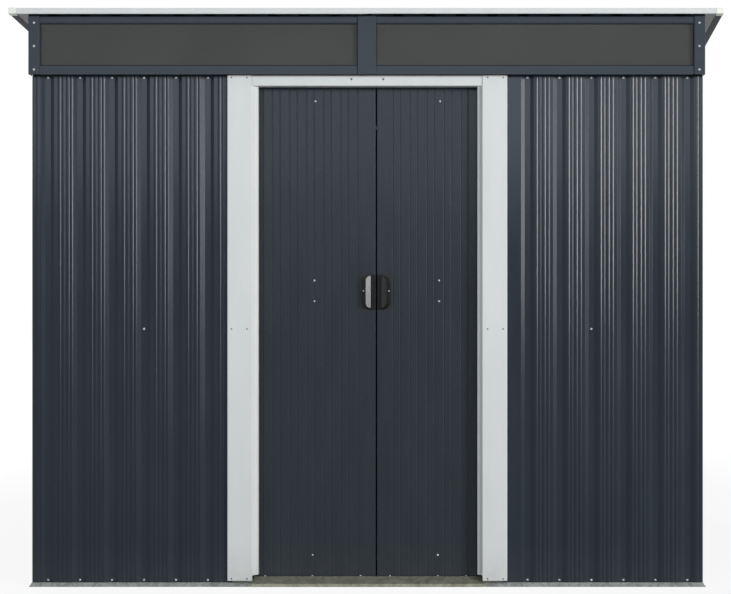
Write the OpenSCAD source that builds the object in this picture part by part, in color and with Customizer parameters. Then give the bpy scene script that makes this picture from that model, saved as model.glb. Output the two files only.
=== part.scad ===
// Metal storage shed with a single-slope roof, a window band over the front wall and two sliding doors.
// Millimetres. The front faces -Y, +Z is up, and the origin is on the ground under the middle of the roof.

/* [Body] */
// Width over the outer faces of the side walls
body_w = 2346; // [1800:1:3000]
// Depth over the outer faces of the front and rear walls
body_d = 1730; // [1200:1:2400]
// Height of the top edge of the wall sheets above the ground
wall_top = 1792; // [1500:1:2100]
// Height of the bottom edge of the wall sheets above the ground
wall_bottom = 14; // [10:1:30]

/* [Wall sheets] */
// Thickness of the wall, gable and roof sheets
sheet_t = 1; // [0.8:0.1:1.5]
// Distance between the grooves of a wall sheet
groove_pitch = 112; // [95:1:134]
// Depth of a groove
groove_depth = 7; // [5.5:0.5:8.5]
// Width of a groove's flat bottom
groove_floor = 19; // [16:1:23]
// Width of each sloping side of a groove
groove_side = 13; // [10:0.5:16]
// Distance from a front corner to the first groove of the front wall
first_groove = 53; // [46:1:64]
// Length of each leg of the corner trims
corner_leg = 30; // [24:1:36]
// Outer radius of the corner trims' bend
corner_round = 4; // [3:0.5:6]

/* [Base] */
// Height of the base rails' upright leg
base_h = 38; // [30:1:46]
// Thickness of the base rails and the threshold
base_t = 1.5; // [1:0.1:2]
// How far the base rails' skirt reaches out from the walls
skirt_out = 10; // [8:0.5:14]
// Width of the base rails' foot on the ground
foot_w = 35; // [30:1:42]
// Radius of the anchor holes in the feet
anchor_r = 4.5; // [3:0.5:6]
// Distance from a side wall to the anchor holes
anchor_in = 300; // [240:1:360]

/* [Rails] */
// Height of the rails that stiffen the walls inside
rail_h = 40; // [32:1:48]
// Depth of those rails
rail_d = 15; // [12:1:18]
// Thickness of those rails and the roof beam
rail_t = 1.5; // [1:0.1:2]
// Height of the middle of the mid rails above the ground
mid_rail_z = 901; // [750:1:1100]

/* [Window band] */
// Height of the window band's front
band_h = 203; // [170:0.5:245]
// How far the window band stands proud of the front wall
band_proud = 34; // [28:1:41]
// How far the window band stands wider than the body at each end
band_side = 3.5; // [3:0.5:6]
// How far the band's lower edge hangs below the top of the wall sheets
band_drop = 5; // [3:0.5:8]
// Height of the band's top rail
band_top_rail = 26.5; // [21:0.5:32]
// Height of the band's bottom rail
band_bottom_rail = 33; // [27:1:40]
// Width of the band's end posts, with the bevel
end_post_w = 40; // [33:1:48]
// Width of the band's middle post, with its two bevels
middle_post_w = 68; // [56:1:82]
// How far the posts' faces stand proud of the rails' faces
post_rise = 4; // [3:0.5:5]
// Width of the posts' bevelled edges
post_bevel = 5.5; // [4:0.5:7]
// Thickness of the band's frame
band_t = 1.5; // [1:0.1:2]
// Thickness of the window panes
pane_t = 3; // [2:0.5:5]

/* [Roof] */
// Slope of the roof, down towards the rear, in degrees
roof_angle = 6.2; // [4:0.1:8]
// How far the roof reaches out beyond each side wall
roof_side = 64; // [50:1:90]
// How far the roof reaches out beyond the front and rear walls
roof_end = 62; // [50:1:90]
// Gap between the top of the window band's face and the roof
roof_gap = 1.1; // [1:0.1:3]
// Gap between the roof sheets and what they rest on or slide into
seat_gap = 0.1; // [0.05:0.05:0.3]
// Least gap between the rear wall's top edge and the roof
rear_gap = 5; // [3:0.5:8]
// Distance between the ribs of the roof sheets
rib_pitch = 109; // [91:1:130]
// Distance from a side wall's face to the middle of the outermost rib
rib_edge = 83; // [60:1:95]
// Height of a roof rib over the flat of the sheet
rib_h = 16.5; // [14:0.5:22]
// Width of a rib's flat top
rib_top = 25; // [20:1:30]
// Width of each sloping side of a rib
rib_side = 6; // [4:1:9]
// Thickness of the fascias and the side trims
trim_t = 1; // [0.8:0.1:1.5]
// Width of the side trims' flanges and of the fascias' upper flange
trim_flange = 24; // [18:1:30]
// Width of the fascias' lower lip
fascia_lip = 5; // [4:0.5:8]
// Length of each arm of the plastic corner caps
cap_arm = 26; // [22:1:32]
// Thickness of the corner caps
cap_t = 1.5; // [1:0.1:2]
// Distance of the fascia's joint from the middle, to the left
fascia_joint = 11; // [-50:1:50]

/* [Doorway] */
// Width of the doorway between the jambs
door_w = 771; // [640:1:930]
// Height of the header's lower edge above the ground
header_z = 1751; // [1460:1:1751]
// Width of a jamb's front face
jamb_face = 85; // [70:1:102]
// How far the jambs stand proud of the wall
jamb_proud = 10; // [8:1:12]
// Width of the jamb's lip beside the doorway
jamb_lip = 7; // [6:1:9]
// Width of the jamb's sloping return
jamb_return = 10.5; // [8:0.5:13]
// Thickness of the jambs, the header and the top track
jamb_t = 1; // [0.8:0.1:1.5]
// Height of the threshold's rear edge
threshold_h = 28; // [24:1:34]
// Height of the threshold's front lip
threshold_lip = 11; // [8:1:14]

/* [Doors] */
// How far the two closed leaves reach behind the jambs, shared between both sides
leaf_over = 57; // [48:1:68]
// Thickness of a leaf over its folded edges
leaf_t = 12; // [10:1:14]
// Thickness of a leaf's sheet
leaf_sheet = 1; // [0.8:0.1:1.5]
// Distance from the wall's face back to the leaves
leaf_back = 43; // [41:1:50]
// Gap between the two closed leaves
leaf_gap = 5; // [5:0.5:7]
// Least gap between the doors and what they pass
door_clear = 5; // [5:0.5:8]
// Distance from the shed's middle to where the leaves meet
leaf_meet = 27.5; // [0:0.5:32]
// Height of a leaf's lower edge above the ground
leaf_bottom = 20; // [18:1:24]
// How far a leaf reaches up behind the header
leaf_lap = 7; // [5:1:9]
// Distance between the flutes of a leaf
flute_pitch = 60.5; // [50:0.5:72]
// Depth of a flute
flute_depth = 1.5; // [1:0.1:2]
// Height of the middle brace in each leaf
brace_mid_h = 105; // [88:1:126]
// Height of the upper and lower braces in each leaf
brace_h = 40; // [34:1:48]
// Height of the middle of the handles above the ground
handle_z = 1031; // [900:1:1200]
// Height of a handle
handle_h = 128; // [107:1:154]
// Width of a handle's plate
handle_w = 48; // [40:1:56]
// Thickness of a handle's plate
handle_plate = 3; // [2:0.5:4]
// How far a handle's grip stands out from the leaf
handle_out = 24; // [20:1:27]
// Width of a handle's grip
grip_w = 20; // [16:1:23]
// Width of the plate that shows outside a handle's grip
flange_w = 17; // [14:0.5:20]
// Gap between the bottom glides and the rail they ride on
glide_gap = 0.5; // [0.3:0.1:0.8]
// Half the length of the doors' top and bottom tracks
track_half = 830; // [800:1:880]

/* [Hidden] */
$fn = 32;

// Colours of the finishes
anthracite = [0.25, 0.29, 0.33];
frame_grey = [0.23, 0.27, 0.31];
trim_white = [0.84, 0.85, 0.85];
galvanised = [0.55, 0.56, 0.54];
smoked = [0.25, 0.25, 0.25, 0.6];
black = [0.06, 0.06, 0.06];

// Walls: front face, inner face of the sheets, and the edge of the corner region
y_front = -body_d / 2;
x_side = body_w / 2;
sheet_in = groove_depth + sheet_t;
trim_drop = 6.5;
sheet_start = corner_round - trim_t + 0.2;

// Window band
y_band = y_front - band_proud;
band_bottom = wall_top - band_drop;
band_top = band_bottom + band_h;
x_band = x_side + band_side;
band_back = y_front + 6;
sill_z = band_bottom + band_bottom_rail;
head_z = band_top - band_top_rail;

// Roof plane: the underside of the flat of the sheets falls towards +Y
function roof_under(y) = band_top + roof_gap - tan(roof_angle) * (y - y_band);
// Top of what the roof rests on
function seat(y) = roof_under(y) - seat_gap;
// The side and rear sheets are as high as the front ones, where the rear edge of the roof allows
side_top = min(wall_top, roof_under(-y_front) - rear_gap);
x_roof = x_side + roof_side;
trim_h = rib_h + sheet_t + 2 * (trim_t + seat_gap);
cap_low = -trim_t - 1;
cap_high = trim_h - trim_t + 1;
// Length of the roof along its slope, and where its middle lies so that the front and rear overhangs match
roof_len = (body_d + 2 * roof_end - (cap_high - cap_low) * sin(roof_angle)) / cos(roof_angle);
roof_mid_y = -(cap_low + cap_high) / 2 * sin(roof_angle);

// Roof ribs, with one rib on the middle line and a flat over each side wall
half_ribs = round((x_side - rib_edge) / rib_pitch);
rib_count = 2 * half_ribs + 1;
rib_step = (x_side - rib_edge) / half_ribs;
function rib_x(i) = (i - half_ribs) * rib_step;
function pan_x(i) = (i - rib_count / 2) * rib_step;
sheet_cut = [0, round(rib_count / 4), round(rib_count / 2), rib_count - round(rib_count / 4), rib_count];
roof_sheet_x = x_roof - 3;

// Doorway
x_door = door_w / 2;
x_lip = x_door + jamb_lip;
x_face = x_lip + jamb_return;
x_jamb = x_face + jamb_face;
jamb_back = y_front + leaf_back - 12;
threshold_back = leaf_back - door_clear;
front_wall_l = x_side - x_jamb + 15;
front_grooves = floor((front_wall_l - 18 - groove_floor / 2 - groove_side - first_groove) / groove_pitch) + 1;
lip_foot = threshold_h + 12;

// Door leaves
leaf_w = (door_w - leaf_gap) / 2 + leaf_over;
y_leaf = y_front + leaf_back;
leaf_top = header_z + leaf_lap;
leaf_h = leaf_top - leaf_bottom;
fin_y = y_leaf + leaf_t / 2;
fin_t = 2;
fin_top = leaf_bottom - door_clear;
track_top = header_z + 38;

// Extrudes an outline of [y, z] points along X, from x0 to x1
module along_x(x0, x1) {
    translate([x0, 0, 0]) rotate([90, 0, 90]) linear_extrude(x1 - x0) children();
}

// Extrudes an outline of [x, z] points along Y, from y0 to y1
module along_y(y0, y1) {
    translate([0, y1, 0]) rotate([90, 0, 0]) linear_extrude(y1 - y0) children();
}

// Places things drawn on the roof's own plane: X across, Y down the slope, Z out of it
module on_roof() {
    translate([0, roof_mid_y, roof_under(roof_mid_y)]) rotate([-roof_angle, 0, 0]) children();
}

// A folded sheet seen on edge: grooves of the given depth at the centres in list c, on a line of length l
function fold_line(l, c, depth, floor_w, side_w, k, t) = concat(
    [[0, t]],
    [for (x = c) each [
        [x - floor_w / 2 - side_w - k, t], [x - floor_w / 2 - k, t + depth],
        [x + floor_w / 2 + k, t + depth], [x + floor_w / 2 + side_w + k, t]
    ]],
    [[l, t]]
);
function reversed(p) = [for (i = [len(p) - 1:-1:0]) p[i]];

module folded_sheet(l, c, depth, floor_w, side_w, t) {
    lean = t * tan(atan(depth / side_w) / 2);
    polygon(concat(fold_line(l, c, depth, floor_w, side_w, 0, 0),
                   reversed(fold_line(l, c, depth, floor_w, side_w, lean, t))));
}

module wall_sheet(l, c, top) {
    translate([0, 0, wall_bottom])
        linear_extrude(top - wall_bottom)
            folded_sheet(l, c, groove_depth, groove_floor, groove_side, sheet_t);
}

// Grooves centred on a wall of length l, as distances from its left end
function centred_grooves(l) =
    let (n = floor((l - 2 * first_groove) / groove_pitch) + 1)
    [for (i = [0:n - 1]) l / 2 + (i - (n - 1) / 2) * groove_pitch];

// One base rail of outer length l, its ends mitred; the wall's face is the line y = 0 and outside is -Y
module base_side(l, extra_foot = 0) {
    intersection() {
        along_x(-l / 2 - skirt_out, l / 2 + skirt_out) polygon([
            [-skirt_out, 0], [-1, wall_bottom], [sheet_in, wall_bottom], [sheet_in, base_h],
            [sheet_in + base_t, base_h], [sheet_in + base_t, base_t],
            [sheet_in + foot_w + extra_foot, base_t], [sheet_in + foot_w + extra_foot, 0],
            [sheet_in, 0], [sheet_in, wall_bottom - base_t], [0, wall_bottom - base_t], [base_t - skirt_out, 0]
        ]);
        translate([0, 0, -1]) linear_extrude(base_h + 2) polygon([
            [-l / 2 - skirt_out - 1, -skirt_out - 1], [l / 2 + skirt_out + 1, -skirt_out - 1],
            [l / 2 - 100, 100], [100 - l / 2, 100]
        ]);
    }
}

module anchor_holes() {
    for (s = [-1, 1])
        translate([s * (x_side - anchor_in), 30, -1]) cylinder(h = base_t + 2, r = anchor_r);
}

module base_front_rail() color(galvanised) translate([0, y_front, 0]) {
    fin = fin_y - y_front;
    difference() {
        base_side(body_w, 17);
        anchor_holes();
        translate([-x_face, -skirt_out - 5, -1]) cube([2 * x_face, skirt_out + 5 + threshold_back, base_h + 2]);
    }
    translate([-track_half, fin - fin_t / 2, base_t]) cube([2 * track_half, fin_t, fin_top - base_t]);
}

module base_rear_rail() color(galvanised) mirror([0, 1, 0]) translate([0, y_front, 0]) difference() {
    base_side(body_w);
    anchor_holes();
}

module base_right_rail() color(galvanised) translate([x_side, 0, 0]) rotate(90) base_side(body_d);

module base_left_rail() color(galvanised) translate([-x_side, 0, 0]) rotate(-90) base_side(body_d);

module door_threshold() color(galvanised) translate([0, y_front, 0]) along_x(-x_face, x_face) polygon([
    [-skirt_out - 2, 0], [-skirt_out - 2, threshold_lip], [threshold_back - base_t, threshold_h],
    [threshold_back, threshold_h], [threshold_back, 0], [threshold_back - base_t, 0],
    [threshold_back - base_t, threshold_h - base_t],
    [base_t - skirt_out - 2, threshold_lip - 1], [base_t - skirt_out - 2, 0]
]);

// Front sheet from a corner, just clear of the corner trim's bend, to a jamb
module front_sheet() translate([sheet_start - x_side, y_front, 0]) wall_sheet(
    front_wall_l - sheet_start,
    [for (i = [0:front_grooves - 1]) first_groove + i * groove_pitch - sheet_start],
    wall_top
);

module front_left_wall() color(anthracite) front_sheet();

module front_right_wall() color(anthracite) mirror([1, 0, 0]) front_sheet();

module side_sheet() {
    // The side sheets stop short of the front and rear sheets, behind the corner trims
    start = sheet_in + 2;
    translate([x_side, y_front + start, 0]) rotate(90)
        wall_sheet(body_d - 2 * start, [for (c = centred_grooves(body_d)) c - start], side_top);
}

module right_wall() color(anthracite) side_sheet();

module left_wall() color(anthracite) mirror([1, 0, 0]) side_sheet();

// Rear sheet from the middle to the right corner; a groove on the middle line itself is left out
module rear_sheet() translate([0, -y_front, 0]) mirror([0, 1, 0]) wall_sheet(
    x_side - sheet_start,
    [for (c = centred_grooves(body_w)) if (c > x_side + 30) c - x_side],
    side_top
);

module rear_right_wall() color(anthracite) rear_sheet();

module rear_left_wall() color(anthracite) mirror([1, 0, 0]) rear_sheet();

// Angle trim over a corner, rounded outside, which ends a little below the top of the sheets that it joins
module corner_trim(top) translate([x_side + trim_t, -y_front + trim_t, wall_bottom]) rotate(180)
    linear_extrude(top - trim_drop - wall_bottom) {
        translate([corner_round, 0]) square([corner_leg - corner_round, trim_t]);
        translate([0, corner_round]) square([trim_t, corner_leg - corner_round]);
        difference() {
            translate([corner_round, corner_round]) circle(r = corner_round);
            translate([corner_round, corner_round]) circle(r = corner_round - trim_t);
            translate([corner_round, -1]) square(3 * corner_round);
            translate([-1, corner_round]) square(3 * corner_round);
        }
    }

module rear_right_corner() color(anthracite) corner_trim(side_top);

module rear_left_corner() color(anthracite) mirror([1, 0, 0]) corner_trim(side_top);

module front_right_corner() color(anthracite) mirror([0, 1, 0]) corner_trim(side_top);

module front_left_corner() color(anthracite) mirror([1, 0, 0]) front_right_corner();

// Flat gable sheet: laps the side wall's top outside, and its upper edge carries the roof
module gable_sheet() {
    along_x(x_side, x_side + sheet_t) polygon([
        [band_back, side_top - trim_drop + 0.5], [-y_front, side_top - trim_drop + 0.5],
        [-y_front, seat(-y_front)], [band_back, seat(band_back)]
    ]);
}

module right_gable() color(anthracite) gable_sheet();

module left_gable() color(anthracite) mirror([1, 0, 0]) gable_sheet();

// C-rail section: its back lies on x = 0, its flanges point along +X, and its lower edge is on y = 0
module c_rail() polygon([
    [0, 0], [rail_d, 0], [rail_d, rail_t], [rail_t, rail_t],
    [rail_t, rail_h - rail_t], [rail_d, rail_h - rail_t], [rail_d, rail_h], [0, rail_h]
]);

// C-rails behind the side sheets, at height z, which end just clear of the front and rear rails
module side_rails(z) {
    end = -y_front - sheet_in - rail_d - 0.5;
    for (s = [0, 1]) mirror([s, 0, 0])
        along_y(-end, end) translate([sheet_in - x_side, z]) c_rail();
}

module mid_rails() color(galvanised) {
    z = mid_rail_z - rail_h / 2;
    side_rails(z);
    mirror([0, 1, 0]) along_x(sheet_in - x_side, x_side - sheet_in) translate([y_front + sheet_in, z]) c_rail();
    for (s = [0, 1]) mirror([s, 0, 0])
        along_x(sheet_in - x_side, -x_door - jamb_t) translate([y_front + sheet_in, z]) c_rail();
}

module top_rails() color(galvanised) {
    z = side_top - rail_h;
    y_rear = -y_front - sheet_in;
    side_rails(z);
    along_x(sheet_in - x_side, x_side - sheet_in) translate([y_front + sheet_in, wall_top - rail_h]) c_rail();
    // The rear rail reaches up to the roof
    along_x(sheet_in - x_side, x_side - sheet_in) polygon([
        [y_rear, z], [y_rear, seat(y_rear)], [y_rear - rail_d, seat(y_rear - rail_d)],
        [y_rear - rail_d, seat(y_rear - rail_d) - rail_t],
        [y_rear - rail_t, seat(y_rear - rail_t) - rail_t],
        [y_rear - rail_t, z + rail_t], [y_rear - rail_d, z + rail_t], [y_rear - rail_d, z]
    ]);
}

// Hat-shaped beam under the middle of the roof, from gable to gable
module roof_beam() color(galvanised) along_x(-x_side, x_side) polygon([
    [-rail_d, seat(-rail_d) - rail_h], [-rail_d, seat(-rail_d)], [rail_d, seat(rail_d)],
    [rail_d, seat(-rail_d) - rail_h], [rail_d - rail_t, seat(-rail_d) - rail_h],
    [rail_d - rail_t, seat(rail_d - rail_t) - rail_t],
    [rail_t - rail_d, seat(rail_t - rail_d) - rail_t], [rail_t - rail_d, seat(-rail_d) - rail_h]
]);

// Jamb: a face proud of the wall, a sloping return, a lip, and a back leg behind the wall
module jamb() translate([0, y_front, 0]) {
    back = jamb_back - y_front;
    lip_y = 5;
    translate([0, 0, wall_bottom + 8]) linear_extrude(band_bottom - wall_bottom - 8) polygon([
        [x_face, -jamb_proud], [x_jamb, -jamb_proud], [x_jamb, 0], [x_jamb - jamb_t, 0],
        [x_jamb - jamb_t, jamb_t - jamb_proud], [x_face, jamb_t - jamb_proud]
    ]);
    translate([0, 0, lip_foot]) linear_extrude(header_z - lip_foot) polygon([
        [x_face, -jamb_proud], [x_lip, lip_y], [x_door, lip_y], [x_door, back], [x_face + jamb_face - 18, back],
        [x_face + jamb_face - 18, back - jamb_t], [x_door + jamb_t, back - jamb_t],
        [x_door + jamb_t, lip_y + jamb_t], [x_lip + 0.6 * jamb_t, lip_y + jamb_t],
        [x_face + 0.6 * jamb_t, jamb_t - jamb_proud], [x_face + 3, jamb_t - jamb_proud], [x_face + 3, -jamb_proud]
    ]);
}

module right_door_jamb() color(trim_white) jamb();

module left_door_jamb() color(trim_white) mirror([1, 0, 0]) jamb();

// Header: an open channel over the doorway, which holds the top rail and carries the track
module door_header() color(trim_white) translate([0, y_front, 0]) along_x(0.5 - x_face, x_face - 0.5) {
    back = jamb_back - y_front;
    front = 2 - jamb_proud;
    polygon([
        [front, header_z], [back, header_z], [back, track_top], [back - jamb_t, track_top],
        [back - jamb_t, header_z + jamb_t], [front + jamb_t, header_z + jamb_t],
        [front + jamb_t, header_z + 35], [front, header_z + 35]
    ]);
}

// Top track: an inverted channel in which the doors' upper glides run
module door_track() color(galvanised) translate([0, jamb_back, 0]) along_x(-track_half, track_half) {
    track_w = leaf_back + leaf_t + 8.5 - (jamb_back - y_front);
    track_foot = leaf_top + 6;
    polygon([
        [0, track_foot], [0, track_top], [track_w, track_top], [track_w, track_foot],
        [track_w - rail_t, track_foot], [track_w - rail_t, track_top - rail_t],
        [rail_t, track_top - rail_t], [rail_t, track_foot]
    ]);
}

// Window band: the posts' bevelled edges lie on the rails, and the panes stand between the rails' webs
module window_top_rail() color(frame_grey) along_x(band_t - x_band, x_band - band_t) {
    front = y_band + post_rise;
    polygon([
        [front, head_z], [front, band_top - 0.5], [front + 4, seat(front + 4)], [band_back, seat(band_back)],
        [band_back, seat(band_back) - band_t], [front + band_t, band_top - 2 * band_t],
        [front + band_t, head_z + band_t], [band_back, head_z + band_t], [band_back, head_z]
    ]);
}

module window_bottom_rail() color(frame_grey) along_x(band_t - x_band, x_band - band_t) {
    front = y_band + post_rise;
    polygon([
        [front, band_bottom], [front, sill_z], [band_back, sill_z], [band_back, sill_z - band_t],
        [front + band_t, sill_z - band_t], [front + band_t, wall_top + band_t],
        [band_back, wall_top + band_t], [band_back, wall_top],
        [front + band_t, wall_top], [front + band_t, band_bottom]
    ]);
}

// Bevelled inner edge of a post at x, which faces -X: over the rails a bevel, and a return beside the pane
module post_edge(x) {
    translate([x, y_band, band_bottom]) linear_extrude(band_h) polygon([
        [0, post_rise], [post_bevel, 0], [post_bevel, band_t], [2 * band_t, post_rise]
    ]);
    translate([x, y_band + post_rise, sill_z]) linear_extrude(head_z - sill_z) polygon([
        [0, 0], [band_t, -1], [band_t, 16], [0, 16]
    ]);
}

module end_post() {
    // Front plate, bevelled edge and outer side
    inner = x_band - end_post_w;
    translate([inner + post_bevel, y_band, band_bottom]) cube([end_post_w - post_bevel, band_t, band_h]);
    post_edge(inner);
    along_x(x_band - band_t, x_band) polygon([
        [y_band, band_bottom], [y_band, band_top], [y_band + 4, seat(y_band + 4)],
        [band_back, seat(band_back)], [band_back, band_bottom]
    ]);
}

module window_right_post() color(frame_grey) end_post();

module window_left_post() color(frame_grey) mirror([1, 0, 0]) end_post();

module window_middle_post() color(frame_grey) {
    face_w = middle_post_w - 2 * post_bevel;
    translate([-face_w / 2, y_band, band_bottom]) cube([face_w, band_t, band_h]);
    for (s = [0, 1]) mirror([s, 0, 0]) post_edge(-middle_post_w / 2);
}

module pane() translate([middle_post_w / 2, y_band + 13, sill_z])
    cube([x_band - end_post_w - middle_post_w / 2, pane_t, head_z - sill_z - 0.5]);

module right_window() color(smoked) pane();

module left_window() color(smoked) mirror([1, 0, 0]) pane();

// Roof sheet number i of four, cut in the middle of the flats between ribs
module roof_sheet(i) on_roof() {
    x0 = i == 0 ? -roof_sheet_x : pan_x(sheet_cut[i]);
    x1 = i == 3 ? roof_sheet_x : pan_x(sheet_cut[i + 1]);
    // Drawn from the ribs' side, so it is turned over: its folds then stand up as ribs
    translate([0, 0, sheet_t]) mirror([0, 0, 1]) along_y(3 - roof_len / 2, roof_len / 2 - 3)
        translate([x0, 0]) mirror([0, 1]) translate([0, -sheet_t])
            folded_sheet(x1 - x0, [for (r = [sheet_cut[i]:sheet_cut[i + 1] - 1]) rib_x(r) - x0],
                         rib_h, rib_top, rib_side, sheet_t);
}

module roof_left_sheet() color(anthracite) roof_sheet(0);

module roof_middle_left_sheet() color(anthracite) roof_sheet(1);

module roof_middle_right_sheet() color(anthracite) roof_sheet(2);

module roof_right_sheet() color(anthracite) roof_sheet(3);

// Channel section that grips the edge of the roof: its web is on x = 0 and it opens along +X
module edge_channel(lower) translate([0, -trim_t - seat_gap]) polygon([
    [0, 0], [lower, 0], [lower, trim_t], [trim_t, trim_t],
    [trim_t, trim_h - trim_t], [trim_flange, trim_h - trim_t], [trim_flange, trim_h], [0, trim_h]
]);

module fascia(x0, x1) on_roof()
    along_x(x0, x1) translate([1 - roof_len / 2, 0]) edge_channel(fascia_lip);

module front_left_fascia() color(trim_white) fascia(cap_arm - x_roof, -fascia_joint);

module front_right_fascia() color(trim_white) fascia(-fascia_joint, x_roof - cap_arm);

module rear_fascia() color(trim_white) on_roof() mirror([0, 1, 0])
    along_x(cap_arm - x_roof, x_roof - cap_arm) translate([1 - roof_len / 2, 0]) edge_channel(fascia_lip);

module left_roof_trim() color(frame_grey) on_roof()
    along_y(cap_arm - roof_len / 2, roof_len / 2 - cap_arm) translate([1 - x_roof, 0]) edge_channel(trim_flange);

module right_roof_trim() color(frame_grey) on_roof() mirror([1, 0, 0])
    along_y(cap_arm - roof_len / 2, roof_len / 2 - cap_arm) translate([1 - x_roof, 0]) edge_channel(trim_flange);

module roof_corner_caps() color(trim_white) on_roof()
    for (sx = [0, 1], sy = [0, 1]) mirror([sx, 0, 0]) mirror([0, sy, 0])
        difference() {
            translate([-x_roof, -roof_len / 2, cap_low]) cube([cap_arm, cap_arm, cap_high - cap_low]);
            translate([cap_t - x_roof, cap_t - roof_len / 2, cap_low + cap_t])
                cube([cap_arm, cap_arm, cap_high - cap_low - 2 * cap_t]);
        }

// Door leaf from its meeting edge at x = 0 towards -X: a fluted skin with folded edges
module leaf() {
    n = floor((leaf_w - 130) / flute_pitch);
    flutes = [for (i = [0:n - 1]) leaf_w / 2 + (i - (n - 1) / 2) * flute_pitch];
    translate([-leaf_w, y_leaf, leaf_bottom]) {
        linear_extrude(leaf_h) {
            folded_sheet(leaf_w, flutes, flute_depth, 3, 2, leaf_sheet);
            square([leaf_sheet, leaf_t]);
            translate([leaf_w - leaf_sheet, 0]) square([leaf_sheet, leaf_t]);
        }
        cube([leaf_w, leaf_t, leaf_sheet]);
        translate([0, 0, leaf_h - leaf_sheet]) cube([leaf_w, leaf_t, leaf_sheet]);
    }
}

// Three flat bars across the inside of a leaf
module braces() {
    y = y_leaf + leaf_sheet + flute_depth;
    for (b = [[leaf_top - 65, brace_h], [handle_z, brace_mid_h], [leaf_bottom + 84, brace_h]])
        translate([leaf_sheet - leaf_w, y, b[0] - b[1] / 2])
            cube([leaf_w - 2 * leaf_sheet, leaf_t - leaf_sheet - flute_depth - 1, b[1]]);
}

// Outline of a plate with its two outer corners rounded, from x = 0 towards -X
module d_outline(w, h, r) {
    translate([r - w, -h / 2]) square([w - r, h]);
    translate([-w, r - h / 2]) square([r, h - 2 * r]);
    for (s = [-1, 1]) translate([r - w, s * (h / 2 - r)]) circle(r = r);
}

// Pull handle: a plate and a raised grip with a finger hollow towards the meeting edge
module handle() translate([-1, y_leaf, handle_z]) rotate([90, 0, 0]) {
    linear_extrude(handle_plate) d_outline(handle_w, handle_h, 16);
    linear_extrude(handle_out) translate([flange_w + grip_w - handle_w, 0]) d_outline(grip_w, handle_h - 12, 14);
}

// Plastic glides: two on the top edge, and two under the bottom edge that straddle the fin
module glides() {
    glide_l = 50;
    for (x = [-leaf_w + 60, -60 - glide_l]) {
        translate([x, y_leaf + 1, leaf_top]) cube([glide_l, leaf_t + 1, 22]);
        along_x(x, x + glide_l) {
            half = fin_t / 2 + glide_gap;
            polygon([
                [fin_y - 5, 6], [fin_y - 5, leaf_bottom], [fin_y + 5, leaf_bottom], [fin_y + 5, 6],
                [fin_y + half, 6], [fin_y + half, fin_top + glide_gap],
                [fin_y - half, fin_top + glide_gap], [fin_y - half, 6]
            ]);
        }
    }
}

// The left door ends at its meeting edge, and the right door is its mirror image
module left_side() translate([leaf_meet - leaf_gap / 2, 0, 0]) children();

module right_side() translate([leaf_meet + leaf_gap / 2, 0, 0]) mirror([1, 0, 0]) children();

module left_door_leaf() color(anthracite) left_side() leaf();

module left_door_braces() color(galvanised) left_side() braces();

module left_door_handle() color(black) left_side() handle();

module left_door_glides() color(black) left_side() glides();

module right_door_leaf() color(anthracite) right_side() leaf();

module right_door_braces() color(galvanised) right_side() braces();

module right_door_handle() color(black) right_side() handle();

module right_door_glides() color(black) right_side() glides();

base_front_rail();
base_rear_rail();
base_left_rail();
base_right_rail();
door_threshold();
front_left_wall();
front_right_wall();
left_wall();
right_wall();
rear_left_wall();
rear_right_wall();
front_left_corner();
front_right_corner();
rear_left_corner();
rear_right_corner();
left_gable();
right_gable();
mid_rails();
top_rails();
roof_beam();
left_door_jamb();
right_door_jamb();
door_header();
door_track();
window_top_rail();
window_bottom_rail();
window_left_post();
window_middle_post();
window_right_post();
left_window();
right_window();
roof_left_sheet();
roof_middle_left_sheet();
roof_middle_right_sheet();
roof_right_sheet();
front_left_fascia();
front_right_fascia();
rear_fascia();
left_roof_trim();
right_roof_trim();
roof_corner_caps();
left_door_leaf();
left_door_braces();
left_door_handle();
left_door_glides();
right_door_leaf();
right_door_braces();
right_door_handle();
right_door_glides();
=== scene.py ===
"""Metal storage shed of coated steel sheets, with two sliding doors, a window band and a single-slope roof.

Metres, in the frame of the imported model. The sections follow the shed as it is put together, and each one
holds a group's sizes, shapes and finish, and the body that its pieces move with.
"""

import math
import random

import bmesh
import bpy
from mathutils import Matrix, Vector


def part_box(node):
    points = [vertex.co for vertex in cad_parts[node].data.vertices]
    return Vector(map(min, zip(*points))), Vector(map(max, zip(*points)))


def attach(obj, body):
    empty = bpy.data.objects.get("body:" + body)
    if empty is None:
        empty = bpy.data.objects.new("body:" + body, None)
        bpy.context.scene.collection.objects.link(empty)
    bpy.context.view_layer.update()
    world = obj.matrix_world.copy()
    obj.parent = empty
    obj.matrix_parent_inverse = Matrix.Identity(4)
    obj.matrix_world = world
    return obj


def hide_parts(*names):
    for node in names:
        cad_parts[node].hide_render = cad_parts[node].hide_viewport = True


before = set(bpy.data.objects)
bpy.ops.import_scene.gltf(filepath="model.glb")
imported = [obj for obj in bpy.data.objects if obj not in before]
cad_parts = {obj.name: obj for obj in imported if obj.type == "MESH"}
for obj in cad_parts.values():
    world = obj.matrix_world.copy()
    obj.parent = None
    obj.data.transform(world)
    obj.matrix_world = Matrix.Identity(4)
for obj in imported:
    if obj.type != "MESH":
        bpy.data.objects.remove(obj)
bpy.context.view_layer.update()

# ---------------------------------------------------------------------------------------------------------
# Base rails and threshold
# Roll-formed rails of 1.5 mm galvanised steel, mitred at the corners: a foot on the ground, an upright leg
# behind the wall sheets and a sloping skirt outside. A folded ramp of the same steel fills the doorway.

MM = 0.001


def linear(red, green, blue):
    """A colour written as it shows on a screen, turned into the values that a shader takes."""
    return tuple(((c / 255 + 0.055) / 1.055) ** 2.4 for c in (red, green, blue)) + (1.0,)


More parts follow.
